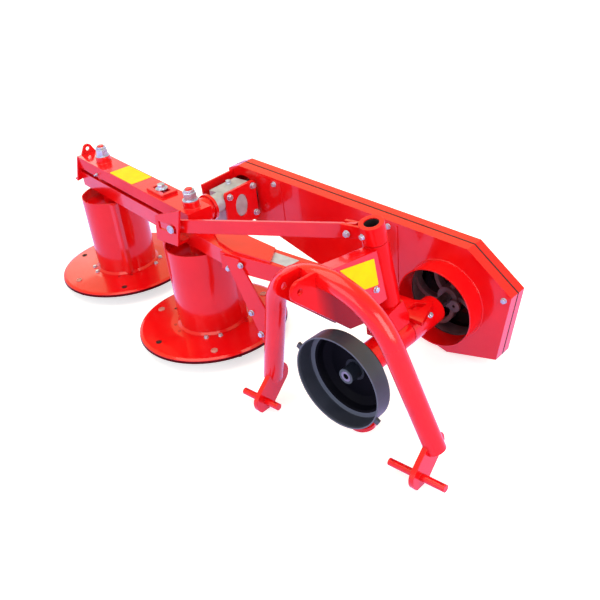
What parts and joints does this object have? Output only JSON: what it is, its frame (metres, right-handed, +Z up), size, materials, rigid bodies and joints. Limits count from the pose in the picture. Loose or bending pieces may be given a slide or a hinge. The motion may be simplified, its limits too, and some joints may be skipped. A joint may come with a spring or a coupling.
{
  "type": "rotary mower",
  "caption": "Mounted rotary drum mower with swept cutter beam, belt guard, rolling arm, inclined swing mast and three-point hitch arch with a guarded power take-off.",
  "frame": {"origin": "middle of the bounding box on the floor", "axes": "+X along the lower hitch pins towards the machine's right in the picture, +Y rearward away from the tractor, +Z up"},
  "size_m": [2.0226, 0.7249, 0.6182],
  "materials": {
    "red_paint": "gloss red paint",
    "zinc": "zinc plated",
    "bright_steel": "machined",
    "cast_aluminium": "raw casting",
    "bell_plastic": "satin moulding",
    "pulley_iron": "dark primer"
  },
  "bodies": {
    "mower": {"arm": "red_paint", "knuckle": "red_paint", "roll_sleeve": "red_paint", "window_plate": "red_paint", "guard_front": "red_paint", "guard_rear": "red_paint", "guard_collar": "red_paint", "gearbox": "cast_aluminium", "gearbox_cover": "red_paint", "gearbox_side": "red_paint", "drive_tube": "red_paint", "lower_beam": "red_paint", "upper_channel": "red_paint", "end_plate": "red_paint", "tensioner": "zinc", "spindle_1": "red_paint", "spindle_2": "red_paint", "spindle_nut_1": "zinc", "spindle_nut_2": "zinc", "stay_bracket": "red_paint", "swath_plate": "red_paint"},
    "carrier": {"mast_pin": "red_paint", "saddle": "red_paint", "pto_tube": "red_paint", "pto_bell": "bell_plastic", "stand_leg": "red_paint"},
    "hitch": {"arch": "red_paint", "leg_left": "red_paint", "leg_right": "red_paint", "link_left": "red_paint", "link_right": "red_paint", "mast_sleeve": "red_paint", "brace": "red_paint", "gusset": "red_paint"},
    "stay_bar": {"stay": "red_paint"},
    "cutter_1": {"drum_1": "red_paint", "disc_1": "red_paint"},
    "cutter_2": {"drum_2": "red_paint", "disc_2": "red_paint"},
    "skid_1": {"saucer_1": "red_paint"},
    "skid_2": {"saucer_2": "red_paint"},
    "drive": {"drive_shaft": "bright_steel", "big_pulley": "pulley_iron"},
    "pinion": {"small_pulley": "pulley_iron"}
  },
  "joints": [
    {"name": "roll", "type": "hinge", "parent": "mower", "child": "carrier", "pos_m": [0.64477, 0.0715, 0.208], "axis": [0, 1, 0], "range_deg": [-8, 2]},
    {"name": "swing", "type": "hinge", "parent": "carrier", "child": "hitch", "pos_m": [0.63677, -0.0075, 0.478], "axis": [0, -0.1736, 0.9848], "range_deg": [0, 60]},
    {"name": "stay_pivot", "type": "hinge", "parent": "carrier", "child": "stay_bar", "pos_m": [0.56677, -0.0365, 0.573], "axis": [-0.1194, 0.9928, 0], "range_deg": [-3, 10]},
    {"name": "drum_1_spin", "type": "hinge", "parent": "mower", "child": "cutter_1", "pos_m": [-0.74727, 0.06523, 0.2], "axis": [0, 0, 1], "continuous": true},
    {"name": "drum_2_spin", "type": "hinge", "parent": "mower", "child": "cutter_2", "pos_m": [-0.11623, -0.0415, 0.2], "axis": [0, 0, 1], "continuous": true},
    {"name": "skid_1_spin", "type": "hinge", "parent": "mower", "child": "skid_1", "pos_m": [-0.74727, 0.06523, 0.02], "axis": [0, 0, 1], "continuous": true},
    {"name": "skid_2_spin", "type": "hinge", "parent": "mower", "child": "skid_2", "pos_m": [-0.11623, -0.0415, 0.02], "axis": [0, 0, 1], "continuous": true},
    {"name": "drive_spin", "type": "hinge", "parent": "mower", "child": "drive", "pos_m": [0.64477, 0.2885, 0.208], "axis": [0, 1, 0], "continuous": true},
    {"name": "pinion_spin", "type": "hinge", "parent": "mower", "child": "pinion", "pos_m": [-0.19906, 0.2885, 0.3889], "axis": [0, 1, 0], "continuous": true}
  ],
  "couplings": [
    {"joint": "stay_pivot", "follows": "roll", "ratio": -1.14},
    {"joint": "drum_2_spin", "follows": "drum_1_spin", "ratio": -1},
    {"joint": "pinion_spin", "follows": "drum_1_spin", "ratio": 1},
    {"joint": "drive_spin", "follows": "drum_1_spin", "ratio": 0.338}
  ]
}
